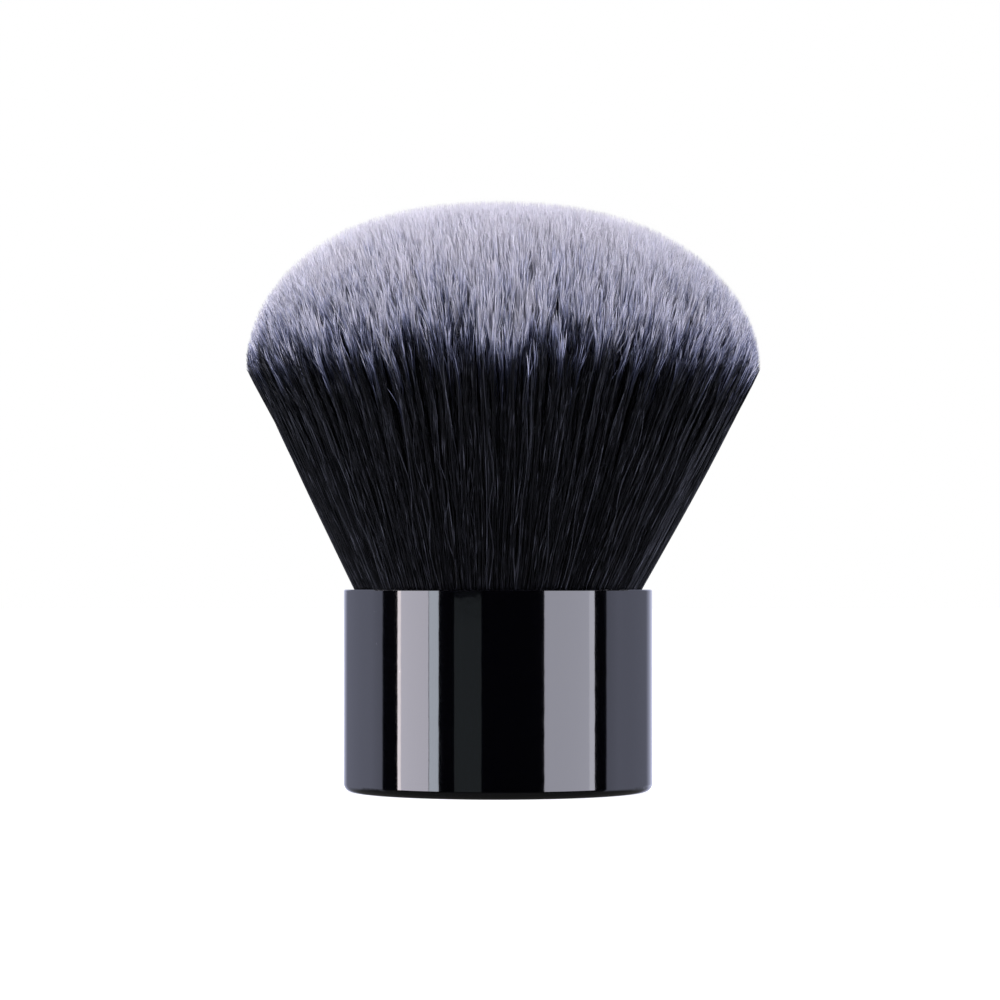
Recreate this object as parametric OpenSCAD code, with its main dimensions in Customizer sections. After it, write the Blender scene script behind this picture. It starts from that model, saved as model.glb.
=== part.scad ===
// Kabuki make-up brush: a short round handle and a wide domed head of loose hair.
// Units are millimetres. The base rests on z = 0 and the brush points up.

/* [Handle] */
// Outside diameter of the handle
handle_diameter = 36; // [30:0.5:42]
// Height of the handle from its base to its rim
handle_height = 23.5; // [21:0.5:32]
// Thickness of the drawn wall
shell_wall = 1.0; // [0.6:0.1:1.4]
// Thickness of the closed base
shell_floor = 1.2; // [0.8:0.1:2]
// Radius round the bottom edge
base_edge_radius = 0.9; // [0.4:0.1:1.5]
// Break along the cut edges of the rim
rim_break = 0.12; // [0.05:0.01:0.3]

/* [Head] */
// Diameter of the hair where it is widest
head_diameter = 59.8; // [52:0.2:68]
// Height of the widest place above the rim
widest_above_rim = 27.5; // [22:0.5:34]
// Height of the dome above the widest place
dome_height = 17.9; // [12:0.1:24]
// Fullness of the dome, where 2 is an ellipse
dome_fullness = 2.15; // [1.8:0.05:2.6]
// How far the straight fan would pass the widest radius
fan_overshoot = 1.4; // [0:0.1:2.5]
// Length over which a strand narrows to its tip
taper_length = 3.0; // [2:0.5:6]
// Most that a strand stops short of the dome
tip_scatter = 0.7; // [0:0.1:1.5]
// Share of its room that each strand fills
strand_fill = 0.88; // [0.6:0.01:0.92]

/* [Rings of strands] */
// Rings in the crown, counting the middle strand as one
crown_rings = 6; // [4:1:7]
// Rings round the crown
dome_rings = 3; // [2:1:4]
// Rings round the dome
shoulder_rings = 2; // [1:1:3]
// Outermost rings
side_rings = 2; // [1:1:3]

/* [Knot of roots] */
// Depth of the potted roots' top below the rim
root_depth = 4.0; // [3:0.1:6]
// Height of the potted roots
root_height = 6.0; // [5:0.1:8]
// Depth that each strand is set into the potted roots
root_embed = 1.0; // [0.5:0.1:1.5]
// Thickness of the resin under the roots
resin_thickness = 1.8; // [1:0.1:2.5]
// Diameter of the binding thread
thread_diameter = 0.45; // [0.3:0.05:0.6]
// Turns of binding thread
thread_turns = 6; // [3:1:7]

/* [Inside the handle] */
// Wall of the cup that holds the hair
cup_wall = 0.45; // [0.3:0.05:0.6]
// Height of the cup's mouth below the rim
cup_mouth_depth = 1.3; // [0.8:0.1:2]
// Thickness of the adhesive film
glue_film = 0.2; // [0.1:0.05:0.3]
// Height of the adhesive bead round the core
bead_height = 1.6; // [0.8:0.1:2.4]
// Depth of the adhesive bead's groove
bead_depth = 0.7; // [0.4:0.1:1]
// Diameter of the ballast disc
ballast_diameter = 24; // [16:0.5:26]
// Thickness of the ballast disc
ballast_thickness = 5; // [3:0.5:6]
// Clearance between pieces that are bonded or packed together
fit_gap = 0.05; // [0.03:0.01:0.08]

/* [Hidden] */
$fn = 96;

shell_radius = handle_diameter / 2;
bore_radius = shell_radius - shell_wall;
bore_chamfer = 0.3;
ballast_chamfer = 0.5;
cup_chamfer = 0.4;
resin_chamfer = 0.6;
above = 1;
rim_gap = 0.2;
fan_rim_radius = bore_radius - rim_gap;
head_radius = head_diameter / 2;
widest_z = handle_height + widest_above_rim;
fan_slope = (head_radius + fan_overshoot - fan_rim_radius) / widest_above_rim;

last_ring = crown_rings + dome_rings + shoulder_rings + side_rings - 1;
root_top = handle_height - root_depth;
root_bottom = root_top - root_height;
flare_z = root_top - root_embed;
knot_radius = fan_radius(flare_z);

cup_gap = 0.1;
socket_step = 0.5;
cup_radius = knot_radius + cup_gap;
cup_mouth_z = handle_height - cup_mouth_depth;
cup_floor_z = root_bottom - fit_gap - resin_thickness - fit_gap - cup_wall;

socket_radius = cup_radius + cup_wall + fit_gap + glue_film + fit_gap;
socket_z = cup_floor_z - fit_gap - glue_film - fit_gap;
core_bottom = shell_floor + fit_gap;
core_radius = bore_radius - fit_gap;
core_top = flare_z - socket_step;
glue_top = core_top - socket_step;
pocket_top = core_bottom + ballast_thickness + fit_gap;
pocket_radius = ballast_diameter / 2 + fit_gap;
bead_z = core_bottom + (core_top - core_bottom) / 2;

golden_angle = 137.508;
turn_seed = 11;
short_seed = 53;
halvings = 16;

groove_depth = thread_diameter + fit_gap;
thread_pitch = thread_diameter * cos(30);
groove_half = thread_pitch * thread_turns / 2 + fit_gap;
thread_z = root_bottom + (flare_z - root_bottom) / 2;

// Radius of the whole fan of hair at a height
function fan_radius(z) = fan_rim_radius + fan_slope * (z - handle_height);

// Share of the fan's radius at which a ring stands
function ring_share(ring) = ring / (last_ring + 0.5);

// How far outside the dome a point of the fan lies, below 0 if it is inside
function outside_dome(share, up) =
    pow(share * fan_radius(widest_z + up) / head_radius, dome_fullness)
    + pow(up / dome_height, dome_fullness) - 1;

// Height above the widest place at which a strand meets the dome, by halving
function dome_meeting(share, low, high, steps) =
    steps == 0 ? (low + high) / 2
    : outside_dome(share, (low + high) / 2) > 0
        ? dome_meeting(share, low, (low + high) / 2, steps - 1)
        : dome_meeting(share, (low + high) / 2, high, steps - 1);

function polar(radius, angle, z) = [radius * cos(angle), radius * sin(angle), z];

// The three corners of a strand's section at a height
function section_at(share, angle, turn, z) =
    let (half = strand_fill / 2 * fan_radius(z) / (last_ring + 0.5))
    [for (i = [0 : 2])
        polar(share * fan_radius(z), angle, z) + polar(half, turn + 120 * i, 0)];

// Outer shell, drawn as a closed cup
module handle_shell() {
    color([0.02, 0.02, 0.025])
    rotate_extrude()
    difference() {
        union() {
            translate([0, base_edge_radius])
                square([shell_radius, handle_height - base_edge_radius]);
            square([shell_radius - base_edge_radius, base_edge_radius]);
            translate([shell_radius - base_edge_radius, base_edge_radius])
                circle(base_edge_radius);
        }
        polygon([[0, shell_floor], [bore_radius - bore_chamfer, shell_floor],
                 [bore_radius, shell_floor + bore_chamfer],
                 [bore_radius, handle_height - rim_break],
                 [bore_radius + rim_break, handle_height],
                 [bore_radius + rim_break, handle_height + above],
                 [0, handle_height + above]]);
        polygon([[shell_radius - rim_break, handle_height],
                 [shell_radius, handle_height - rim_break],
                 [shell_radius + above, handle_height - rim_break],
                 [shell_radius + above, handle_height + above],
                 [shell_radius - rim_break, handle_height + above]]);
    }
}

// Moulded core with a socket for the hair cup above and a pocket for the ballast below
module handle_core() {
    color([0.72, 0.72, 0.70])
    rotate_extrude()
    polygon([
        [0, pocket_top],
        [pocket_radius, pocket_top],
        [pocket_radius, core_bottom],
        [core_radius - bore_chamfer, core_bottom],
        [core_radius, core_bottom + bore_chamfer],
        [core_radius, bead_z - bead_height / 2],
        [core_radius - bead_depth, bead_z - bead_height / 2],
        [core_radius - bead_depth, bead_z + bead_height / 2],
        [core_radius, bead_z + bead_height / 2],
        [core_radius, core_top],
        [socket_radius, core_top],
        [socket_radius, socket_z],
        [0, socket_z]]);
}

// Ring of adhesive that bonds the core to the shell
module core_adhesive() {
    color([0.85, 0.80, 0.55])
    rotate_extrude()
    translate([core_radius - bead_depth + fit_gap, bead_z - bead_height / 2 + fit_gap])
        square([bead_depth - fit_gap, bead_height - 2 * fit_gap]);
}

// Disc of metal that gives the handle its weight
module ballast_disc() {
    radius = ballast_diameter / 2;
    color([0.55, 0.56, 0.58])
    translate([0, 0, core_bottom])
    rotate_extrude()
    polygon([[0, 0], [radius - ballast_chamfer, 0], [radius, ballast_chamfer],
             [radius, ballast_thickness - ballast_chamfer],
             [radius - ballast_chamfer, ballast_thickness], [0, ballast_thickness]]);
}

// Thin cup with a flared mouth that holds the knot of hair
module hair_cup() {
    flare_radius = fan_radius(cup_mouth_z) + cup_gap;
    color([0.80, 0.80, 0.82])
    rotate_extrude()
    polygon([[0, cup_floor_z], [cup_radius + cup_wall - cup_chamfer, cup_floor_z],
             [cup_radius + cup_wall, cup_floor_z + cup_chamfer],
             [cup_radius + cup_wall, flare_z],
             [flare_radius + cup_wall, cup_mouth_z],
             [flare_radius, cup_mouth_z],
             [cup_radius, flare_z],
             [cup_radius, cup_floor_z + cup_wall],
             [0, cup_floor_z + cup_wall]]);
}

// Film of adhesive between the cup and the core's socket
module cup_adhesive() {
    inner = socket_radius - fit_gap - glue_film;
    color([0.88, 0.84, 0.62])
    rotate_extrude()
    polygon([[0, socket_z + fit_gap], [socket_radius - fit_gap, socket_z + fit_gap],
             [socket_radius - fit_gap, glue_top],
             [inner, glue_top],
             [inner, socket_z + fit_gap + glue_film],
             [0, socket_z + fit_gap + glue_film]]);
}

// Pad of cured resin under the roots
module root_resin() {
    bottom = cup_floor_z + cup_wall + fit_gap;
    color([0.80, 0.62, 0.30])
    rotate_extrude()
    polygon([[0, bottom], [knot_radius - resin_chamfer, bottom],
             [knot_radius, bottom + resin_chamfer],
             [knot_radius, bottom + resin_thickness], [0, bottom + resin_thickness]]);
}

// Thread wound round the roots, its turns pressed together into one ribbed band
module binding_thread() {
    inner = knot_radius - thread_diameter;
    first = thread_z - thread_pitch * (thread_turns - 1) / 2;
    color([0.92, 0.91, 0.86])
    rotate_extrude()
    union() {
        translate([inner, first - thread_pitch / 2])
            square([thread_diameter / 2, thread_pitch * thread_turns]);
        for (turn = [0 : thread_turns - 1])
            translate([inner + thread_diameter / 2, first + turn * thread_pitch])
                circle(thread_diameter / 2, $fn = 6);
    }
}

// Slice of the potted roots that backs the rings from first to last
module root_slice(first, last) {
    low = fan_radius(flare_z);
    high = fan_radius(root_top);
    outer = ring_share(last + 0.5);
    inner = ring_share(max(first - 0.5, 0));
    edge = first == 0 ? 0 : fit_gap;
    waist = last == last_ring ? groove_depth : 0;
    rotate_extrude()
    polygon([[inner * low + edge, root_bottom],
             [outer * low, root_bottom],
             [outer * low, thread_z - groove_half],
             [outer * low - waist, thread_z - groove_half],
             [outer * low - waist, thread_z + groove_half],
             [outer * low, thread_z + groove_half],
             [outer * low, flare_z],
             [outer * high, root_top],
             [inner * high + edge, root_top],
             [inner * low + edge, flare_z]]);
}

// One strand, three-sided, from its root straight to its tip on the dome
module strand(share, angle, turn, short) {
    tip_z = widest_z + dome_meeting(share, 0, dome_height, halvings) - short;
    points = concat(section_at(share, angle, turn, flare_z + fit_gap),
                    section_at(share, angle, turn, tip_z - taper_length),
                    [polar(share * fan_radius(tip_z), angle, tip_z)]);
    polyhedron(points, [[0, 1, 2],
                        [0, 3, 4], [0, 4, 1], [1, 4, 5], [1, 5, 2], [2, 5, 3], [2, 3, 0],
                        [3, 6, 4], [4, 6, 5], [5, 6, 3]]);
}

// The rings from first to last, each six strands more than the one inside it
module strand_rings(first, last) {
    for (ring = [first : last]) {
        count = max(6 * ring, 1);
        start = golden_angle * ring;
        turns = rands(0, 120, count, turn_seed + ring);
        shorts = rands(0, tip_scatter, count, short_seed + ring);
        for (i = [0 : count - 1])
            strand(ring_share(ring), start + 360 * i / count, turns[i],
                   ring == 0 ? 0 : shorts[i]);
    }
}

// Middle of the head
module crown_bristles() {
    color([0.80, 0.79, 0.85])
    union() {
        root_slice(0, crown_rings - 1);
        strand_rings(0, crown_rings - 1);
    }
}

// Rings round the crown
module dome_bristles() {
    first = crown_rings;
    color([0.74, 0.73, 0.80])
    union() {
        root_slice(first, first + dome_rings - 1);
        strand_rings(first, first + dome_rings - 1);
    }
}

// Rings that reach the shoulder of the dome
module shoulder_bristles() {
    first = crown_rings + dome_rings;
    color([0.52, 0.52, 0.60])
    union() {
        root_slice(first, first + shoulder_rings - 1);
        strand_rings(first, first + shoulder_rings - 1);
    }
}

// Outermost rings, which show as the dark side of the head
module side_bristles() {
    first = crown_rings + dome_rings + shoulder_rings;
    color([0.07, 0.075, 0.10])
    union() {
        root_slice(first, last_ring);
        strand_rings(first, last_ring);
    }
}

handle_shell();
handle_core();
core_adhesive();
ballast_disc();
hair_cup();
cup_adhesive();
root_resin();
binding_thread();
crown_bristles();
dome_bristles();
shoulder_bristles();
side_bristles();
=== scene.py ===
# %% [markdown]
# Kabuki make-up brush, from bare model to finished look.
# The real brush is a short lacquered handle with a wide dome of loose hair. The handle and the
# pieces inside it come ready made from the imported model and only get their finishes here. The
# hair could be a particle system, but a shared part needs plain meshes, so each hair is built
# as a thin three-sided spike that takes the place of the model's plain strands.

# %% Load the frame
import math

import bpy
import numpy as np
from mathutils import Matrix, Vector
from mathutils.kdtree import KDTree


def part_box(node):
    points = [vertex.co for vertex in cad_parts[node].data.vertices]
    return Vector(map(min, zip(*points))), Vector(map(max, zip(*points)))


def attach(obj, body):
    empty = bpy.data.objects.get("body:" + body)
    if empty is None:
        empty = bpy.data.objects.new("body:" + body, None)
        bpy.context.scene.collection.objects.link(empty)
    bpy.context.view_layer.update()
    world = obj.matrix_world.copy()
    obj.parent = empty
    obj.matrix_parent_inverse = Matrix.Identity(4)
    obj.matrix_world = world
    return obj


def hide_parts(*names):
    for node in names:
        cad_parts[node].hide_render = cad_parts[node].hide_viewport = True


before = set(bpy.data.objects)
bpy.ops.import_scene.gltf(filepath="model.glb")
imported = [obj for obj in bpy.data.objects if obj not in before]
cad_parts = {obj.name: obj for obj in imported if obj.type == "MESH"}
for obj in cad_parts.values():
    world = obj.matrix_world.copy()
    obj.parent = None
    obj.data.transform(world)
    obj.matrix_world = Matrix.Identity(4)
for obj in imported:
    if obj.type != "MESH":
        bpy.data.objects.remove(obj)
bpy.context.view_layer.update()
MM = 0.001


def in_mm(values):
    return [round(value / MM, 2) for value in values]


# %% [markdown]
# Sizes that the hair grows from.
# The hair is potted in a thin cup inside the handle, leaves it as a straight fan and ends on a
# dome. The rim, the knot of roots and the width of the head could be typed in, but reading
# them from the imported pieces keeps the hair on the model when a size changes. What no piece's
# box gives, such as the height of the widest place, is written as a real size.

# %% Read the sizes
ROOT_DEPTH = 4.0 * MM
FLARE_DEPTH = 1.0 * MM
WALL_AND_GAP = 1.2 * MM
WIDEST_ABOVE_RIM = 26.5 * MM
TOP_CLEARANCE = 0.1 * MM

shell_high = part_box("handle_shell")[1]
side_low, side_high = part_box("side_bristles")
thread_low, thread_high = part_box("binding_thread")
HANDLE_RADIUS = shell_high.x
RIM_Z = shell_high.z
KNOT_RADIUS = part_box("root_resin")[1].x
ROOT_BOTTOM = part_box("crown_bristles")[0].z
HEAD_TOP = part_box("crown_bristles")[1].z
HEAD_RADIUS = (side_high.x - side_low.x) / 2

ROOT_TOP = RIM_Z - ROOT_DEPTH
FLARE_Z = ROOT_TOP - FLARE_DEPTH
FAN_AT_RIM = HANDLE_RADIUS - WALL_AND_GAP
WIDEST_Z = RIM_Z + WIDEST_ABOVE_RIM
DOME_HEIGHT = HEAD_TOP - TOP_CLEARANCE - WIDEST_Z
print("Rim, widest place and top in mm:", in_mm([RIM_Z, WIDEST_Z, HEAD_TOP]))

# %% [markdown]
# The camera.
# The photograph is taken level with the rim of the handle, from about 400 mm, with a long lens
# that is tipped up a little so that the tall head stays in the frame. A short lens close by
# would frame the brush too, but it would bend the sides of the handle. A long lens keeps them
# straight, as a product photographer wants them.

# %% Place the camera
CAMERA_DISTANCE = 400 * MM
CAMERA_SIDEWAYS = 0.23 * MM
CAMERA_ABOVE_RIM = 0.5 * MM
CAMERA_TILT = math.radians(1.43)
SENSOR_WIDTH = 36.0
LENS = 122.98

camera_data = bpy.data.cameras.new("studio_camera")
camera_data.sensor_width = SENSOR_WIDTH
camera_data.lens = LENS
camera_data.clip_start = 10 * MM
camera_data.clip_end = 20.0
camera = bpy.data.objects.new("studio_camera", camera_data)
bpy.context.scene.collection.objects.link(camera)
camera.location = (CAMERA_SIDEWAYS, -CAMERA_DISTANCE, RIM_Z + CAMERA_ABOVE_RIM)
camera.rotation_euler = (math.pi / 2 + CAMERA_TILT, 0, 0)
bpy.context.scene.camera = camera
print("Camera in mm:", in_mm(camera.location), "lens", LENS)

# %% [markdown]
# Helpers for materials.
# Colours are easiest to pick as sRGB hex values, while shaders work in linear light, so one
# function turns the first into the second. A shader tree could be drawn by hand in Blender's
# editor. In a script it is easiest to read as a list of nodes with their settings and links,
# so one function adds a node with both. Two more start a material and fill in a colour ramp.


# %% Helpers for colours and nodes
def linear(hex_colour):
    channels = [int(hex_colour[start : start + 2], 16) / 255 for start in (1, 3, 5)]
    curve = [c / 12.92 if c <= 0.04045 else ((c + 0.055) / 1.055) ** 2.4 for c in channels]
    return (*curve, 1.0)


def add_node(tree, kind, inputs=None, **settings):
    """A node with its settings. inputs maps a socket's name or number to a value or a link."""
    node = tree.nodes.new(kind)
    for name, value in settings.items():
        setattr(node, name, value)
    for key, value in (inputs or {}).items():
        if isinstance(value, bpy.types.NodeSocket):
            tree.links.new(value, node.inputs[key])
        else:
            node.inputs[key].default_value = value
    return node


def new_material(name):
    """A material with one Principled shader, and its tree."""
    material = bpy.data.materials.new(name)
    material.use_nodes = True
    tree = material.node_tree
    tree.nodes.clear()
    shader = add_node(tree, "ShaderNodeBsdfPrincipled")
    add_node(tree, "ShaderNodeOutputMaterial", {"Surface": shader.outputs["BSDF"]})
    return material, tree, shader


def set_ramp(ramp_node, stops):
    """Stops of a colour ramp, as pairs of place and linear colour."""
    ramp = ramp_node.color_ramp
    while len(ramp.elements) < len(stops):
        ramp.elements.new(1.0)
    for element, (place, colour) in zip(ramp.elements, stops):
        element.position = place
        element.color = colour


print("Middle grey as linear light:", [round(c, 4) for c in linear("#808080")])

# %% [markdown]
# Black lacquer on the handle.
# The shell is a drawn aluminium cup, sprayed with gloss black lacquer and baked. The eye gets
# it from three things: reflections with crisp edges, because the clear top layer is smooth;
# edges that wander a little, because sprayed paint levels into a faint orange peel; and a few
# specks of dust. A photograph of lacquer could be wrapped round it, but it would show the
# wrong room. One Principled shader with a full coat gives the two layers, and noise in the
# object's own metres gives the orange peel and the dust at their real sizes.

# %% Make the lacquer
ORANGE_PEEL = 2.2 * MM
ORANGE_PEEL_DEPTH = 0.005 * MM
DUST_SPACING = 2.6 * MM
DUST_RADIUS = 0.05 * MM
CLEAN_SHARE = 0.55
ROUGHNESS_RANGE = (0.05, 0.09)


def make_sprayed_lacquer():
    material, tree, shader = new_material("sprayed_black_lacquer")
    place = add_node(tree, "ShaderNodeTexCoord").outputs["Object"]
    peel = add_node(tree, "ShaderNodeTexNoise",
                    {"Vector": place, "Scale": 1 / ORANGE_PEEL, "Detail": 2.0, "Roughness": 0.4})
    bump = add_node(tree, "ShaderNodeBump",
                    {"Height": peel.outputs["Fac"], "Distance": ORANGE_PEEL_DEPTH,
                     "Strength": 1.0})
    cells = add_node(tree, "ShaderNodeTexVoronoi",
                     {"Vector": place, "Scale": 1 / DUST_SPACING}, feature="F1")
    near = add_node(tree, "ShaderNodeMath",
                    {0: cells.outputs["Distance"], 1: DUST_RADIUS / DUST_SPACING},
                    operation="LESS_THAN")
    chance = add_node(tree, "ShaderNodeSeparateColor", {"Color": cells.outputs["Color"]})
    dusty = add_node(tree, "ShaderNodeMath", {0: chance.outputs["Red"], 1: CLEAN_SHARE},
                     operation="GREATER_THAN")
    dust = add_node(tree, "ShaderNodeMath",
                    {0: near.outputs["Value"], 1: dusty.outputs["Value"]},
                    operation="MULTIPLY")
    colour = add_node(tree, "ShaderNodeMix",
                      {"Factor": dust.outputs["Value"], "A": linear("#030305"),
                       "B": linear("#8a8c92")}, data_type="RGBA")
    gloss = add_node(tree, "ShaderNodeMapRange",
                     {"Value": peel.outputs["Fac"], "To Min": ROUGHNESS_RANGE[0],
                      "To Max": ROUGHNESS_RANGE[1]})
    tree.links.new(colour.outputs["Result"], shader.inputs["Base Color"])
    tree.links.new(gloss.outputs["Result"], shader.inputs["Roughness"])
    tree.links.new(bump.outputs["Normal"], shader.inputs["Normal"])
    tree.links.new(bump.outputs["Normal"], shader.inputs["Coat Normal"])
    shader.inputs["IOR"].default_value = 1.5
    shader.inputs["Coat Weight"].default_value = 1.0
    shader.inputs["Coat IOR"].default_value = 1.5
    shader.inputs["Coat Roughness"].default_value = 0.02
    return material


def finish_node(node, material):
    """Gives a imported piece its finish."""
    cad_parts[node].material_slots[0].material = material
    print(node, "is finished in", material.name)


finish_node("handle_shell", make_sprayed_lacquer())

# %% [markdown]
# Finishes inside the handle.
# Nothing in here shows on a whole brush, and one grey would do for a picture, but a stranger
# who takes the part apart sees it. Each piece gets what its material would show: a moulded
# core is matt with a spark-eroded grain, a stamped disc has the straight grain of rolled steel,
# and a drawn cup has fine rings. The real grain of the metals is finer than 0.1 mm, which a
# render loses, so it is drawn at 0.3 to 0.4 mm.


# %% Make the hidden finishes
def make_grained(name, dark, light, grain, roughness, metallic=0.0, stretch=(1, 1, 1), depth=0.0):
    """A finish with two close colours, mixed by grain of a real size."""
    material, tree, shader = new_material(name)
    place = add_node(tree, "ShaderNodeTexCoord").outputs["Object"]
    scaled = add_node(tree, "ShaderNodeMapping", {"Vector": place, "Scale": stretch})
    noise = add_node(tree, "ShaderNodeTexNoise",
                     {"Vector": scaled.outputs["Vector"], "Scale": 1 / grain, "Detail": 3.0})
    colour = add_node(tree, "ShaderNodeMix",
                      {"Factor": noise.outputs["Fac"], "A": linear(dark), "B": linear(light)},
                      data_type="RGBA")
    bump = add_node(tree, "ShaderNodeBump",
                    {"Height": noise.outputs["Fac"], "Distance": depth, "Strength": 0.6})
    tree.links.new(colour.outputs["Result"], shader.inputs["Base Color"])
    tree.links.new(bump.outputs["Normal"], shader.inputs["Normal"])
    shader.inputs["Metallic"].default_value = metallic
    shader.inputs["Roughness"].default_value = roughness
    return material


moulded_abs = make_grained("moulded_white_abs", "#b9b7ae", "#cbc9c1", 0.25 * MM, 0.55,
                           depth=0.02 * MM)
rolled_steel = make_grained("blanked_rolled_steel", "#8b8d90", "#b4b6b8", 0.4 * MM, 0.38,
                            metallic=1.0, stretch=(1, 12, 1), depth=0.004 * MM)
drawn_aluminium = make_grained("drawn_aluminium", "#c4c6c9", "#dcdde0", 0.3 * MM, 0.3,
                               metallic=1.0, stretch=(1, 1, 10), depth=0.003 * MM)
cured_epoxy = make_grained("cured_epoxy", "#b99a55", "#d8c58c", 1.5 * MM, 0.2, depth=0.01 * MM)
spun_cotton = make_grained("waxed_cotton_thread", "#cfc9b8", "#eae6da", 0.12 * MM, 0.8,
                           stretch=(1, 1, 3), depth=0.05 * MM)

finish_node("handle_core", moulded_abs)
finish_node("ballast_disc", rolled_steel)
finish_node("hair_cup", drawn_aluminium)
finish_node("core_adhesive", cured_epoxy)
finish_node("cup_adhesive", cured_epoxy)
finish_node("root_resin", cured_epoxy)
finish_node("binding_thread", spun_cotton)

# %% [markdown]
# The potted roots.
# Under the rim the hair is a solid knot: the roots are bound with thread, dipped in resin and
# cured, and then they are one block. It could be left out, since hair hides it, but then the
# hairs would hang in the air when the cup is taken off. It is a turned shape, so a profile is
# spun round the axis, with the groove that the thread has pressed into it.

# %% Spin the potted roots
SPIN_STEPS = 96
THREAD_GAP = 0.05 * MM
THREAD_THICKNESS = 0.45 * MM


def spin(name, profile):
    """A closed turned mesh from (radius, height) points that start and end on the axis."""
    turns = np.arange(SPIN_STEPS) * 2 * math.pi / SPIN_STEPS
    rings = profile[1:-1]
    points = [(r * math.cos(t), r * math.sin(t), z) for r, z in rings for t in turns]
    bottom = len(points)
    top = bottom + 1
    points += [(0, 0, profile[0][1]), (0, 0, profile[-1][1])]
    faces = []
    for step in range(SPIN_STEPS):
        after = (step + 1) % SPIN_STEPS
        faces.append((bottom, after, step))
        for ring in range(len(rings) - 1):
            low = ring * SPIN_STEPS
            high = low + SPIN_STEPS
            faces.append((low + step, low + after, high + after, high + step))
        last = (len(rings) - 1) * SPIN_STEPS
        faces.append((last + step, last + after, top))
    mesh = bpy.data.meshes.new(name)
    mesh.from_pydata(points, [], faces)
    return mesh


groove_radius = KNOT_RADIUS - THREAD_THICKNESS - THREAD_GAP
groove_low = thread_low.z - THREAD_GAP
groove_high = thread_high.z + THREAD_GAP
fan_slope = (FAN_AT_RIM - KNOT_RADIUS) / (RIM_Z - FLARE_Z)
top_radius = KNOT_RADIUS + fan_slope * (ROOT_TOP - FLARE_Z)
root_mesh = spin("potted_roots", [
    (0, ROOT_BOTTOM), (KNOT_RADIUS, ROOT_BOTTOM), (KNOT_RADIUS, groove_low),
    (groove_radius, groove_low), (groove_radius, groove_high), (KNOT_RADIUS, groove_high),
    (KNOT_RADIUS, FLARE_Z), (top_radius, ROOT_TOP), (0, ROOT_TOP)])
potted_roots = bpy.data.objects.new("potted_roots", root_mesh)
bpy.context.scene.collection.objects.link(potted_roots)
root_mesh.materials.append(
    make_grained("resin_soaked_hair", "#0b0a0c", "#2a2420", 0.15 * MM, 0.3, stretch=(1, 1, 0.02),
                 depth=0.03 * MM))
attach(potted_roots, "root")
print("Potted roots:", len(root_mesh.polygons), "faces")

# %% [markdown]
# The shape of the fan and of the dome.
# From the handle the hairs spread straight, each at its own slope, right up to their tips. The
# head was trimmed to a dome, so a hair is as long as it takes to meet that surface. The dome is
# a flattened round: one power bends it across and another bends it up, and below the widest
# place it turns in again, gently. A list of points could hold this outline, but two powers
# are easier to tune. No sum gives the place where a line meets such a curve, so halving does.

# %% Radius of the fan, and where a hair meets the dome
ACROSS_POWER = 2.48
UP_POWER = 1.84
UNDERCUT_HEIGHT = 14.5 * MM
DOME_RADIUS = HEAD_RADIUS + 0.2 * MM
LOWEST_TIP = WIDEST_Z - 5.0 * MM
HALVINGS = 24


def fan_radius(z):
    return np.maximum(FAN_AT_RIM + fan_slope * (z - RIM_Z), KNOT_RADIUS)


def dome_meeting(share):
    """Height at which hairs at these shares of the fan's radius meet the dome, by halving."""
    low = np.full(share.shape, LOWEST_TIP)
    high = np.full(share.shape, HEAD_TOP)
    for _ in range(HALVINGS):
        middle = (low + high) / 2
        across = (share * fan_radius(middle) / DOME_RADIUS) ** ACROSS_POWER
        height = np.where(middle > WIDEST_Z, DOME_HEIGHT, UNDERCUT_HEIGHT)
        up = (np.abs(middle - WIDEST_Z) / height) ** UP_POWER
        outside = across + up > 1
        high = np.where(outside, middle, high)
        low = np.where(outside, low, middle)
    return (low + high) / 2


outer_tip = dome_meeting(np.array([1.0]))[0]
print("Outermost hairs end at", in_mm([fan_radius(outer_tip), outer_tip]), "mm")

# %% [markdown]
# Where each hair stands.
# A real head holds some 60,000 hairs. Fewer and slightly thicker ones cover it as well. Plain
# random places would leave gaps and knots, so roots spread like the seeds of a sunflower,
# shaken a little. Places in the knot are complex numbers with 1 as the outer edge, which makes
# turning and leaning a matter of plain sums.

# %% Spread the roots
HAIRS = 42000
GOLDEN_TURN = math.pi * (3 - math.sqrt(5))
ROOT_SHAKE = 0.6
ROOT_EDGE = 0.998

random = np.random.default_rng(20)


def scatter(count):
    """Normal scatter in the plane."""
    return (random.normal(size=count) + 1j * random.normal(size=count)) / math.sqrt(2)


def sunflower(count, shake):
    """Points spread evenly over the unit disc, each shaken by a share of their spacing."""
    number = np.arange(count) + 0.5
    points = np.sqrt(number / count) * np.exp(1j * GOLDEN_TURN * number)
    spacing = math.sqrt(math.pi / count)
    return points + shake * spacing * scatter(count)


def keep_in(points, edge):
    """Draws points that lie outside this edge back to it."""
    return points * edge / np.maximum(np.abs(points), edge)


roots = keep_in(sunflower(HAIRS, ROOT_SHAKE), ROOT_EDGE)
print(HAIRS, "hairs")

# %% [markdown]
# Tufts.
# Loose hair doesn't stay even: neighbours cling together in small tufts, and each tuft leans
# its own way. They bunch tightest a little below the tips. At the very tips they part again,
# and single hairs stray. A simulation with friction could find this by itself, slowly. Here
# each hair joins the nearest of some thousand spread points, and gets two places: one where
# its tuft bunches together, and one for its tip.

# %% Gather the hairs in tufts
TUFTS = 4000
TUFT_SHAKE = 0.9
TUFT_LEAN = 0.014
PULL_IN_CROWN = 0.35
PULL_AT_SIDE = 1.0
PULL_POWER = 3
TIP_PULL = 0.25
HAIR_STRAY = 0.014
TIP_EDGE = 0.99


def from_crown(in_crown, at_side, share):
    """A value that changes from the crown to the side, at these shares of the way."""
    return in_crown + (at_side - in_crown) * share


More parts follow.
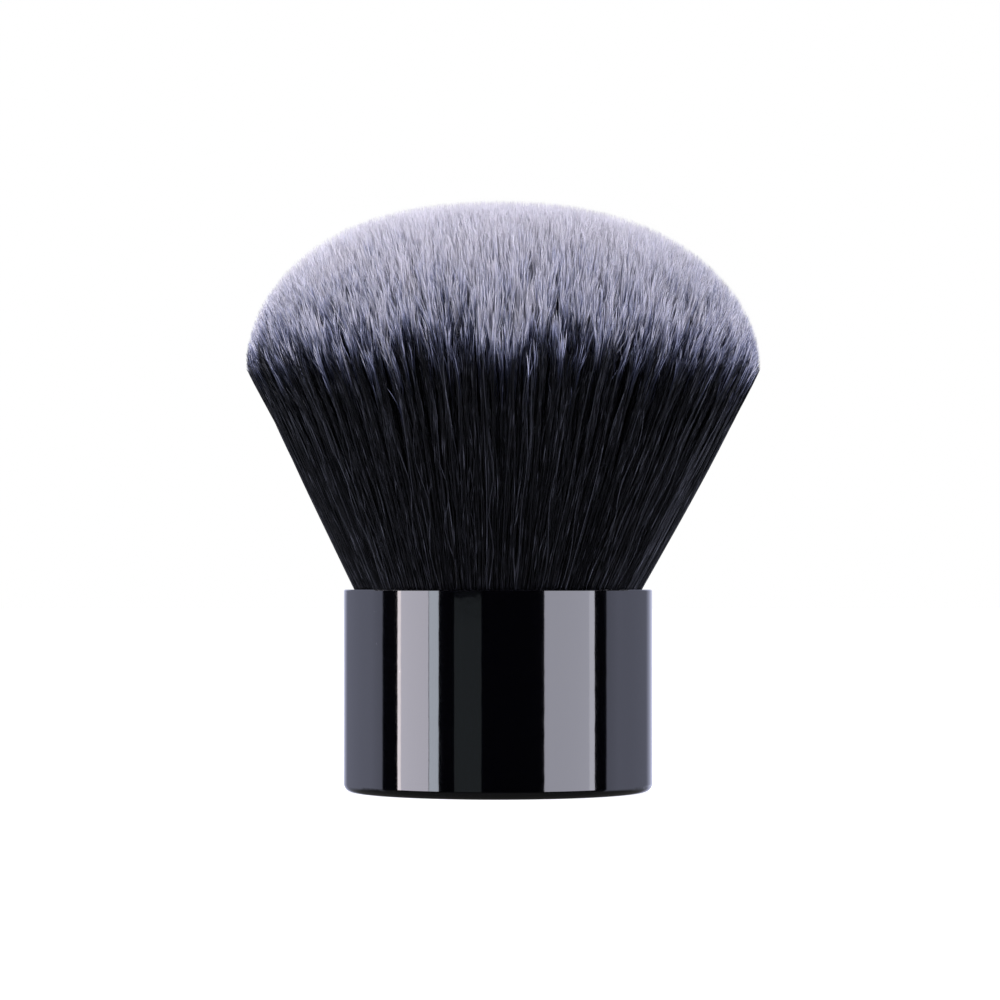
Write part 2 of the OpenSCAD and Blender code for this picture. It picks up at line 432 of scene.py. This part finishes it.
tufts = sunflower(TUFTS, TUFT_SHAKE)
finder = KDTree(TUFTS)
for number, point in enumerate(tufts):
    finder.insert((point.real, point.imag, 0), number)
finder.balance()
tuft_of = np.array([finder.find((point.real, point.imag, 0))[1] for point in roots])
tuft_lean = TUFT_LEAN * scatter(TUFTS)
pull = from_crown(PULL_IN_CROWN, PULL_AT_SIDE, np.abs(roots) ** PULL_POWER)
together = roots + pull * (tufts[tuft_of] - roots) + tuft_lean[tuft_of]
together = keep_in(together, TIP_EDGE)
tips = roots + TIP_PULL * (together - roots) + HAIR_STRAY * scatter(HAIRS)
tips = keep_in(tips, TIP_EDGE)
print("About", HAIRS // TUFTS, "hairs in each of", TUFTS, "tufts")

# %% [markdown]
# How long each hair is.
# The maker trims the head to a dome, but loose hairs end a little below it, some more than
# others, and near the side a good part of them stops well short. All of them could end right
# on the dome, but then the head would look turned from one piece. What a hair falls short by
# is partly its own and partly its tuft's.

# %% Give each hair its length
TIP_SHORT = 0.08 * MM
TUFT_SHORT = 0.10 * MM
SHORT_SHARE = 0.42
SHORTEST_IN_CROWN = 0.7 * MM
SHORTEST_AT_SIDE = 4.6 * MM
SHORT_POWER = 4

tip_share = np.abs(tips)
short = random.exponential(TIP_SHORT, HAIRS) + random.uniform(0, TUFT_SHORT, TUFTS)[tuft_of]
is_short = random.uniform(size=HAIRS) < SHORT_SHARE
shortest = from_crown(SHORTEST_IN_CROWN, SHORTEST_AT_SIDE, tip_share**SHORT_POWER)
short += is_short * shortest * random.uniform(0, 1, HAIRS)
tip_z = dome_meeting(tip_share) - short
print("Hairs end at most", in_mm([short.max()]), "mm below the dome")

# %% [markdown]
# Where the pale end of each hair begins.
# The hair is two-tone polyester: black filament whose end is left pale, with a fade of a few
# millimetres between them. In the crown the pale end is long, and at the side it is short. On
# the front it never starts below a level height, which dips a little at the left and right.
# One length for all would draw a hard line, so it wanders from patch to patch, from tuft to
# tuft and from hair to hair. The patches are a few waves, with a random generator of their
# own, so that they can be changed without moving a single hair.

# %% Give each hair its pale end
PALE_IN_CROWN = 10.0 * MM
PALE_AT_SIDE = 4.1 * MM
EVEN_FROM = 0.8
EVEN_POWER = 3
LOWEST_FADE = RIM_Z + 27.5 * MM
FADE_DIP = 1.3 * MM
DIP_POWER = 8
PALE_SCATTER = 1.15 * MM
PALE_TUFT_SCATTER = 1.6 * MM
PATCH_SIZE = 0.45 * MM
PATCH_WAVES = 12
PATCH_TURNS = (10.0, 34.0)
PATCH_SEED = 181578


def patches(points):
    """A smooth random height over the disc: a few waves of random direction and phase."""
    numbers = np.random.default_rng(PATCH_SEED).uniform(size=(PATCH_WAVES, 3))
    height = np.zeros(len(points))
    for direction, turns, phase in numbers:
        turns = PATCH_TURNS[0] + (PATCH_TURNS[1] - PATCH_TURNS[0]) * turns
        heading = turns * np.exp(2j * math.pi * direction)
        height += np.cos((points * heading).real + 2 * math.pi * phase)
    return height / math.sqrt(PATCH_WAVES / 2)


to_side = np.minimum(tip_share / EVEN_FROM, 1) ** EVEN_POWER
lowest_fade = LOWEST_FADE - FADE_DIP * tips.real**DIP_POWER
pale = from_crown(PALE_IN_CROWN, PALE_AT_SIDE, to_side)
pale = np.minimum(pale, tip_z - lowest_fade) + PATCH_SIZE * patches(tips)
pale += PALE_SCATTER * random.normal(size=HAIRS)
pale += PALE_TUFT_SCATTER * random.normal(size=TUFTS)[tuft_of]
print("Pale ends in mm, from", in_mm([pale.min()]), "to", in_mm([pale.max()]))

# %% [markdown]
# A shade for each hair.
# Hairs that are exactly alike melt into a flat grey. Real ones differ, since each lies at its
# own angle and depth, so the shade number is partly each hair's own tone and partly painted
# light and shade for that angle and depth. A material for every hair would be far too many, so
# each hair gets a number for its shade, partly shared by its tuft, and the one material reads
# it. In the crown the hairs are more alike than at the side, and lighter, which is painted
# light on the top of the dome.

# %% Give each hair its shade
SHADE_IN_CROWN = 0.66
SHADE_AT_SIDE = 0.56
SHADE_SCATTER = 0.26
SHADE_TUFT_SCATTER = 0.12
UNLIKE_IN_CROWN = 0.4

unlike = SHADE_SCATTER * random.normal(size=HAIRS)
unlike += SHADE_TUFT_SCATTER * random.normal(size=TUFTS)[tuft_of]
# Shade is partly each hair's own tone and partly painted light and shade; the higher crown level is
# painted light.
shade = from_crown(SHADE_IN_CROWN, SHADE_AT_SIDE, to_side)
shade = np.clip(shade + unlike * from_crown(UNLIKE_IN_CROWN, 1.0, to_side), 0.0, 1.0)
print("Mean shade", round(shade.mean(), 3), "spread", round(shade.std(), 3))

# %% [markdown]
# How thick each hair is, and how it waves.
# Filament from one die differs by a tenth or so in thickness. Most hairs have a slow, slight
# wave, and a few loose ones wave more; they are among the lightest, which the material gives a
# painted highlight. They could wave in any direction, but then the outline of the head would
# turn woolly, so a wave runs along the surface of the fan and not out of it. Each hair is also
# turned round its own line, so that no two catch the light alike.

# %% Give each hair its thickness and wave
HAIR_RADIUS = 0.062 * MM
HAIR_RADIUS_SPREAD = 0.12
WAVE_LENGTHS = (8.0 * MM, 18.0 * MM)
WAVE_SIZE = 0.18 * MM
WAVE_LIMIT = 0.55 * MM
LOOSE_FROM = 0.54
LOOSE_WAVE = 0.5 * MM

turn_of = random.uniform(0, 2 * math.pi, HAIRS)
wave_phase = random.uniform(0, 2 * math.pi, HAIRS)
wave_length = random.uniform(*WAVE_LENGTHS, HAIRS)
wave_size = np.minimum(random.exponential(WAVE_SIZE, HAIRS), WAVE_LIMIT)
is_loose = unlike > LOOSE_FROM
wave_size = np.where(is_loose, LOOSE_WAVE, wave_size)
thickness = HAIR_RADIUS * (1 + HAIR_RADIUS_SPREAD * random.normal(size=HAIRS))
print(is_loose.sum(), "loose hairs, mean radius in mm", round(thickness.mean() / MM, 4))

# %% [markdown]
# The line that a hair follows.
# A hair keeps its share of the fan's radius from root to tip, so it runs straight, and the
# bunching, the straying and the wave are added to that. Bunching is strongest at about nine
# tenths of the way up, and straying only sets in near the tip. The head as a whole bows a
# little to the right, as it does in the photograph. Bones could bend it, but a sum of smooth
# curves needs no rig.

# %% Find the line of a hair
ROOT_Z = FLARE_Z - 0.5 * MM
BUNCH_POWER = 5
STRAY_POWER = 8
SWAY = 0.62 * MM


def hair_lines(chosen, share):
    """Places in the plane, in metres, and heights of the chosen hairs at shares of their length."""
    z = ROOT_Z + (tip_z[chosen, None] - ROOT_Z) * share
    bunch = np.sin(math.pi * share**BUNCH_POWER)
    plane = roots[chosen, None] + (together - roots)[chosen, None] * bunch
    plane = plane + (tips - roots)[chosen, None] * share**STRAY_POWER
    wave = wave_phase[chosen, None] + 2 * math.pi * z / wave_length[chosen, None]
    swing = wave_size[chosen, None] * np.sin(math.pi * share) * np.sin(wave)
    sideways = swing * (1j * roots / np.abs(roots))[chosen, None]
    sway = SWAY * np.sin(math.pi * np.clip((z - RIM_Z) / (HEAD_TOP - RIM_Z), 0, 1))
    return plane * fan_radius(z) + sideways + sway, z


middle_share = np.array([[0.5]])
first_line, first_z = hair_lines(np.array([0]), middle_share)
print("The middle hair, half way up, in mm:", in_mm([first_line[0, 0].real, first_z[0, 0]]))

# %% [markdown]
# One hair as a mesh.
# A round tube for every hair would need far too many faces. Three sides with smooth shading
# look round at this size. Rings stand closer together near the tip, where the hair bends and
# tapers. The map of each hair runs from its shade across to its place along the hair up, so
# one small picture holds the colour of every hair, and the faces of many hairs share it.

# %% Build hair meshes
SIDES = 3
TAPER_LENGTH = 2.5 * MM
TIP_SHARE_OF_RADIUS = 0.5
MAP_NAME = "OFBake"
MAP_COLUMNS = 256
COLUMN_EDGE = 0.1
MAP_LENGTH = 72 * MM
MAP_FADE = 12 * MM


def hair_corners(rings):
    """Corners of one hair's triangles: vertex, step across the map, and ring."""
    tip = SIDES * rings
    corners = []
    for side in range(SIDES):
        after = (side + 1) % SIDES
        for ring in range(rings - 1):
            a = (SIDES * ring + side, side, ring)
            b = (SIDES * ring + after, side + 1, ring)
            c = (SIDES * (ring + 1) + after, side + 1, ring + 1)
            d = (SIDES * (ring + 1) + side, side, ring + 1)
            corners += [a, b, c, a, c, d]
        top = rings - 1
        corners += [(SIDES * top + side, side, top), (SIDES * top + after, side + 1, top),
                    (tip, side + 0.5, rings)]
    root = [(2, 0, 0), (1, 1, 0), (0, 2, 1)]
    return np.array(corners + root)


def hair_points(chosen, line, z):
    """Points of the chosen hairs: the corners of each ring, and the tip as the last."""
    to_tip = tip_z[chosen, None] - z
    taper = TIP_SHARE_OF_RADIUS + (1 - TIP_SHARE_OF_RADIUS) * np.clip(to_tip / TAPER_LENGTH, 0, 1)
    radius = thickness[chosen, None] * taper
    turns = turn_of[chosen, None, None] + np.arange(SIDES) * 2 * math.pi / SIDES
    section = line[:, :-1, None] + radius[:, :-1, None] * np.exp(1j * turns)
    plane = np.concatenate([section.reshape(len(chosen), -1), line[:, -1:]], axis=1)
    height = np.concatenate([np.repeat(z[:, :-1], SIDES, axis=1), z[:, -1:]], axis=1)
    return np.stack([plane.real, plane.imag, height], axis=-1)


def hair_places(chosen, z, corners):
    """Places of the chosen hairs' corners on the map, from 0 to 1."""
    column = np.floor(shade[chosen] * (MAP_COLUMNS - 1))
    step = COLUMN_EDGE + (1 - 2 * COLUMN_EDGE) * corners[None, :, 1] / SIDES
    across = (column[:, None] + step) / MAP_COLUMNS
    along = (tip_z[chosen, None] - z - pale[chosen, None] + MAP_FADE) / MAP_LENGTH
    return np.stack([across, along[:, corners[:, 2].astype(int)]], axis=-1)


def mesh_of_triangles(name, points, vertex, places):
    """A smooth mesh from its points, and the vertex and the map place of each corner."""
    mesh = bpy.data.meshes.new(name)
    mesh.vertices.add(len(points))
    mesh.vertices.foreach_set("co", points.astype(np.float32).ravel())
    mesh.loops.add(len(vertex))
    mesh.loops.foreach_set("vertex_index", vertex.astype(np.int32))
    mesh.polygons.add(len(vertex) // 3)
    mesh.polygons.foreach_set("loop_start", np.arange(0, len(vertex), 3, dtype=np.int32))
    mesh.update(calc_edges=True)
    mesh.polygons.foreach_set("use_smooth", np.ones(len(vertex) // 3, dtype=bool))
    uv = mesh.uv_layers.new(name=MAP_NAME)
    uv.data.foreach_set("uv", places.astype(np.float32).ravel())
    return mesh


def hair_mesh(name, chosen, stations):
    """One mesh of the chosen hairs, with rings at these shares of their length."""
    line, z = hair_lines(chosen, np.array(stations)[None, :])
    points = hair_points(chosen, line, z)
    corners = hair_corners(len(stations) - 1)
    first = np.arange(len(chosen))[:, None] * points.shape[1]
    vertex = corners[None, :, 0].astype(int) + first
    return mesh_of_triangles(name, points.reshape(-1, 3), vertex.ravel(),
                             hair_places(chosen, z, corners))


print("The map holds", MAP_COLUMNS, "shades and", in_mm([MAP_LENGTH]), "mm of hair")

# %% [markdown]
# Two-tone polyester hair.
# The filament is extruded polyester, dyed black, with its end left undyed and ground to a
# taper. The eye gets a soft bluish grey at the tips, a cooler fade and a blue-black body with
# little shine, because light that enters the bundle is lost in it. Two materials with a seam
# could do it, but a real fade has no seam, so the colour is a ramp along the hair. The shade
# number lightens or darkens it, partly as painted light and shade. The lightest hairs get a
# painted highlight, and painted glints make short pale dashes in the dark body. A filament is
# 0.07 mm thick in life. It is drawn at 0.12 mm, so that it shows.

# %% Make the hair's material
HAIR_TONES = [(-7.0, "#eeebf2"), (-2.4, "#e0e0ee"), (-0.6, "#9ea3c1"), (1.2, "#30354b"),
              (3.6, "#12141a"), (60.0, "#0b0c10")]
SHADE_RANGE = (0.55, 1.05)
PAINTED_HIGHLIGHT_SHARE = 0.07
PAINTED_HIGHLIGHT_POWER = 12
GLINT_LENGTH = 3.2 * MM
GLINT_FROM = 0.60
GLINT_FULL = 0.76
GLINT_SHARE = 0.13


def make_two_tone_polyester():
    """Polyester with the tones at their distances in mm below the middle of the fade."""
    material, tree, shader = new_material("two_tone_polyester_filament")
    place = add_node(tree, "ShaderNodeUVMap", uv_map=MAP_NAME).outputs["UV"]
    split = add_node(tree, "ShaderNodeSeparateXYZ", {"Vector": place})
    ramp = add_node(tree, "ShaderNodeValToRGB", {"Fac": split.outputs["Y"]})
    set_ramp(ramp, [((MAP_FADE + below * MM) / MAP_LENGTH, linear(tone))
                    for below, tone in HAIR_TONES])
    # The shade number lightens or darkens the ramp: partly each hair's own tone, partly painted
    # light and shade.
    lighter = add_node(tree, "ShaderNodeMapRange",
                       {"Value": split.outputs["X"], "To Min": SHADE_RANGE[0],
                        "To Max": SHADE_RANGE[1]})
    toned = add_node(tree, "ShaderNodeMix",
                     {"Factor": 1.0, "A": ramp.outputs["Color"], "B": lighter.outputs["Result"]},
                     data_type="RGBA", blend_type="MULTIPLY")
    # Painted glints: short pale dashes along each hair, painted into the base colour as highlights.
    spots = add_node(tree, "ShaderNodeMapping",
                     {"Vector": place, "Scale": (MAP_COLUMNS, MAP_LENGTH / GLINT_LENGTH, 1)})
    noise = add_node(tree, "ShaderNodeTexNoise",
                     {"Vector": spots.outputs["Vector"], "Scale": 1.0, "Detail": 1.0})
    glint = add_node(tree, "ShaderNodeMapRange",
                     {"Value": noise.outputs["Fac"], "From Min": GLINT_FROM,
                      "From Max": GLINT_FULL, "To Min": 0.0, "To Max": GLINT_SHARE})
    # The lightest hairs are mixed toward a pale blue-grey all along: a painted highlight, as if
    # they catch the light.
    rare = add_node(tree, "ShaderNodeMath", {0: split.outputs["X"], 1: PAINTED_HIGHLIGHT_POWER},
                    operation="POWER")
    painted_highlight = add_node(tree, "ShaderNodeMath",
                          {0: rare.outputs["Value"], 1: PAINTED_HIGHLIGHT_SHARE, 2: glint.outputs["Result"]},
                          operation="MULTIPLY_ADD")
    shown = add_node(tree, "ShaderNodeMix",
                     {"Factor": painted_highlight.outputs["Value"], "A": toned.outputs["Result"],
                      "B": linear("#c4c8dc")}, data_type="RGBA")
    tree.links.new(shown.outputs["Result"], shader.inputs["Base Color"])
    shader.inputs["Roughness"].default_value = 0.42
    shader.inputs["IOR"].default_value = 1.5
    shader.inputs["Specular IOR Level"].default_value = 0.4
    return material


polyester = make_two_tone_polyester()
print("Hair material:", polyester.name)

# %% [markdown]
# Grow the head.
# The model has four zones of strands, from the crown out to the side. All the hair could be one
# piece, but each zone takes the place of the strands that it grows over. The side needs the
# most rings, because its hairs show from the rim up; of the inner hairs only the ends show,
# so they need fewer. A zone is split into pieces of a size that other programs open easily.

# %% Grow each zone of hair
MOST_TRIANGLES = 190000
OUTER_STATIONS = (*np.linspace(0, 0.94, 16), 0.975, 1)
LONG_STATIONS = (0, 0.35, 0.5, 0.6, 0.69, 0.77, 0.84, 0.9, 0.95, 0.98, 1)
SHORT_STATIONS = (0, 0.68, 0.77, 0.84, 0.9, 0.95, 0.98, 1)
ZONES = [
    ("crown", "crown_bristles", "pale_hair", 0.0, 0.44, SHORT_STATIONS),
    ("dome", "dome_bristles", "pale_hair", 0.44, 0.68, SHORT_STATIONS),
    ("shoulder", "shoulder_bristles", "mid_hair", 0.68, 0.84, SHORT_STATIONS),
    ("side", "side_bristles", "dark_hair", 0.84, 0.93, LONG_STATIONS),
    ("outer", "side_bristles", "dark_hair", 0.93, 1.01, OUTER_STATIONS),
]


def grow(zone, node, slot_name, low, high, stations):
    """Hair meshes that stand for one zone of strands."""
    chosen = np.flatnonzero((np.abs(roots) >= low) & (np.abs(roots) < high))
    triangles = len(hair_corners(len(stations) - 1)) // 3 * len(chosen)
    parts = math.ceil(triangles / MOST_TRIANGLES)
    for number, part in enumerate(np.array_split(chosen, parts), start=1):
        name = f"{zone}_hair_{number}"
        piece = bpy.data.objects.new(name, hair_mesh(name, part, stations))
        bpy.context.scene.collection.objects.link(piece)
        piece.data.materials.append(polyester)
        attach(piece, "root")
        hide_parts(node)
    print(zone, "hair:", len(chosen), "hairs,", triangles, "triangles in", parts, "pieces")


for zone in ZONES:
    grow(*zone)

# %% [markdown]
# The studio floor.
# The brush stands on plain white paper. In the photograph the paper is burnt out to pure
# white. Very strong lamps would do that too, but they would wash out the brush, so the floor
# shows a little brighter to the camera than the lamps make it, and the brush still leaves its
# soft shadow there. Glossy rays pass it by, because the photograph shows the side lights
# reflected right down to the foot of the handle.

# %% Lay the floor
FLOOR_HALF = 3.0
PAPER_GLOW = 0.75


def make_white_paper():
    material, tree, shader = new_material("matt_white_paper")
    path = add_node(tree, "ShaderNodeLightPath")
    glow = add_node(tree, "ShaderNodeMath", {0: path.outputs["Is Camera Ray"], 1: PAPER_GLOW},
                    operation="MULTIPLY")
    tree.links.new(glow.outputs["Value"], shader.inputs["Emission Strength"])
    shader.inputs["Emission Color"].default_value = (1, 1, 1, 1)
    shader.inputs["Base Color"].default_value = linear("#c8c8ca")
    shader.inputs["Roughness"].default_value = 0.9
    shader.inputs["Specular IOR Level"].default_value = 0.0
    return material


floor_mesh = bpy.data.meshes.new("floor")
floor_mesh.from_pydata([(-FLOOR_HALF, -FLOOR_HALF, 0), (FLOOR_HALF, -FLOOR_HALF, 0),
                        (FLOOR_HALF, FLOOR_HALF, 0), (-FLOOR_HALF, FLOOR_HALF, 0)],
                       [], [(0, 1, 2, 3)])
floor = bpy.data.objects.new("floor", floor_mesh)
bpy.context.scene.collection.objects.link(floor)
floor_mesh.materials.append(make_white_paper())
floor.visible_glossy = False
print("Floor:", 2 * FLOOR_HALF, "m wide")

# %% [markdown]
# Side lights, a dim card and a top light.
# The handle is a black mirror that is round, so it shows the whole room squeezed into thin
# upright bands. One big lamp would light the hair as well, but the bands need lights of their
# own. Two soft boxes at the sides, each with a brighter strip along an edge, make the two pale
# bands, a dim card near the camera makes the faint one, and everything else in front is dark.
# Each is an area light at an angle from the camera's side, worked out from where its band lies
# on the handle: a band's edge at half an angle round the handle shows the light's edge at the
# whole angle. Two more lights beside and a little behind the brush brighten the sides of the
# dome. The handle hardly shows them, and a soft box above lights the top of the dome.

# %% Hang the lights
LIGHT_DISTANCE = 900 * MM
BOX_LOW = -120 * MM
BOX_HIGH = 800 * MM
REAR_LOW = 70 * MM
REAR_HIGH = 950 * MM
CARD_HIGH = 19 * MM
TOP_BACK = 50 * MM
TOP_HEIGHT = 1000 * MM
TOP_WIDTH = 1000 * MM


def hang_light(name, location, outward, width, height, radiance, colour):
    """A rectangular area light. outward points from the brush to it."""
    light = bpy.data.lights.new(name, "AREA")
    light.shape = "RECTANGLE"
    light.size = width
    light.size_y = height
    light.energy = radiance * math.pi * width * height
    light.color = linear(colour)[:3]
    hung = bpy.data.objects.new(name, light)
    bpy.context.scene.collection.objects.link(hung)
    hung.location = location
    hung.rotation_mode = "QUATERNION"
    hung.rotation_quaternion = Vector(outward).to_track_quat("Z", "Y")
    hung.visible_camera = False
    print(name, "is", round(width, 3), "by", round(height, 3), "m")


def side_light(name, from_angle, to_angle, low, high, radiance, colour):
    """A light beside the brush, between two angles from the camera's side, right positive."""
    middle = math.radians((from_angle + to_angle) / 2)
    half = math.radians(abs(to_angle - from_angle) / 2)
    outward = (math.sin(middle), -math.cos(middle), 0)
    location = (outward[0] * LIGHT_DISTANCE, outward[1] * LIGHT_DISTANCE, (low + high) / 2)
    width = 2 * LIGHT_DISTANCE * math.tan(half)
    hang_light(name, location, outward, width, high - low, radiance, colour)


side_light("left_edge", -79, -76, BOX_LOW, BOX_HIGH, 7.8, "#fff5fa")
side_light("left_box", -76, -52, BOX_LOW, BOX_HIGH, 5.1, "#f3f0ff")
side_light("left_strip", -51.6, -44, BOX_LOW, BOX_HIGH, 4.7, "#e9f1ff")
side_light("right_box", 34, 70.5, BOX_LOW, BOX_HIGH, 3.9, "#eeeeff")
side_light("right_strip", 70.5, 75.5, BOX_LOW, BOX_HIGH, 4.8, "#f0f0ff")
side_light("left_high", -120, -92, REAR_LOW, REAR_HIGH, 5.5, "#f6f5ff")
side_light("right_high", 92, 120, REAR_LOW, REAR_HIGH, 4.9, "#f6f5ff")
side_light("dim_card", -32, -12, BOX_LOW, CARD_HIGH, 0.18, "#e8f8ff")
over_brush = (0, TOP_BACK, TOP_HEIGHT)
hang_light("top_box", over_brush, over_brush, TOP_WIDTH, TOP_WIDTH, 0.8, "#fbf9ff")

# %% [markdown]
# The room.
# To the camera the room is pure white, as in the photograph. To the brush it is a dark studio
# with a white backdrop: for matt surfaces a soft light that is dim in front and bright behind,
# which gives the dome its pale edge, and for glossy ones a room that is dark in front, pale at
# the sides behind the brush and white in the middle of the backdrop. Walls could be built, but
# a world shader is quicker and throws no shadows. It reads only the direction in which a ray
# leaves, so it stays put in every view.

# %% Light the room
SOFT_IN_FRONT = 0.24
SOFT_BEHIND = 1.35
SOFT_FROM = -0.3
SOFT_TO = 0.8
BACK_TURN = math.radians(3.7)
MIRROR_TINT = (0.725, 0.757, 1.0)
MIRROR_LEVELS = [(0.015, 0.0), (0.04, 0.53), (0.25, 0.53), (0.5, 0.38), (0.86, 0.176),
                 (0.985, 0.5)]
MIRROR_STRENGTH = 1.65
GROUND_FROM = -0.15
GROUND_FULL = -0.4
GROUND_LEVEL = 0.05


def light_room():
    world = bpy.data.worlds.new("studio_room")
    bpy.context.scene.world = world
    world.use_nodes = True
    tree = world.node_tree
    tree.nodes.clear()
    direction = add_node(tree, "ShaderNodeTexCoord").outputs["Generated"]
    behind = add_node(tree, "ShaderNodeVectorMath",
                      {0: direction, 1: (math.sin(BACK_TURN), math.cos(BACK_TURN), 0)},
                      operation="DOT_PRODUCT")
    ramp = add_node(tree, "ShaderNodeValToRGB", {"Fac": behind.outputs["Value"]})
    set_ramp(ramp, [(place, (*(level * tint for tint in MIRROR_TINT), 1))
                    for place, level in MIRROR_LEVELS])
    white = add_node(tree, "ShaderNodeBackground", {"Color": (1, 1, 1, 1), "Strength": 1.0})
    height = add_node(tree, "ShaderNodeSeparateXYZ", {"Vector": direction})
    under = add_node(tree, "ShaderNodeMapRange",
                     {"Value": height.outputs["Z"], "From Min": GROUND_FROM,
                      "From Max": GROUND_FULL})
    ground = add_node(tree, "ShaderNodeMix",
                      {"Factor": under.outputs["Result"], "A": ramp.outputs["Color"],
                       "B": (GROUND_LEVEL, GROUND_LEVEL, GROUND_LEVEL, 1)}, data_type="RGBA")
    mirrored = add_node(tree, "ShaderNodeBackground",
                        {"Color": ground.outputs["Result"], "Strength": MIRROR_STRENGTH})
    backdrop = add_node(tree, "ShaderNodeMapRange",
                        {"Value": behind.outputs["Value"], "From Min": SOFT_FROM,
                         "From Max": SOFT_TO, "To Min": SOFT_IN_FRONT, "To Max": SOFT_BEHIND})
    soft = add_node(tree, "ShaderNodeBackground",
                    {"Color": linear("#f2f4ff"), "Strength": backdrop.outputs["Result"]})
    path = add_node(tree, "ShaderNodeLightPath")
    shiny = add_node(tree, "ShaderNodeMath",
                     {0: path.outputs["Is Glossy Ray"], 1: path.outputs["Is Transmission Ray"]},
                     operation="MAXIMUM")
    lit = add_node(tree, "ShaderNodeMixShader",
                   {0: shiny.outputs["Value"], 1: soft.outputs["Background"],
                    2: mirrored.outputs["Background"]})
    seen = add_node(tree, "ShaderNodeMixShader",
                    {0: path.outputs["Is Camera Ray"], 1: lit.outputs["Shader"],
                     2: white.outputs["Background"]})
    add_node(tree, "ShaderNodeOutputWorld", {"Surface": seen.outputs["Shader"]})


light_room()
bpy.context.scene.view_settings.view_transform = "Standard"
print("Room is lit, from", SOFT_IN_FRONT, "in front to", SOFT_BEHIND, "behind")
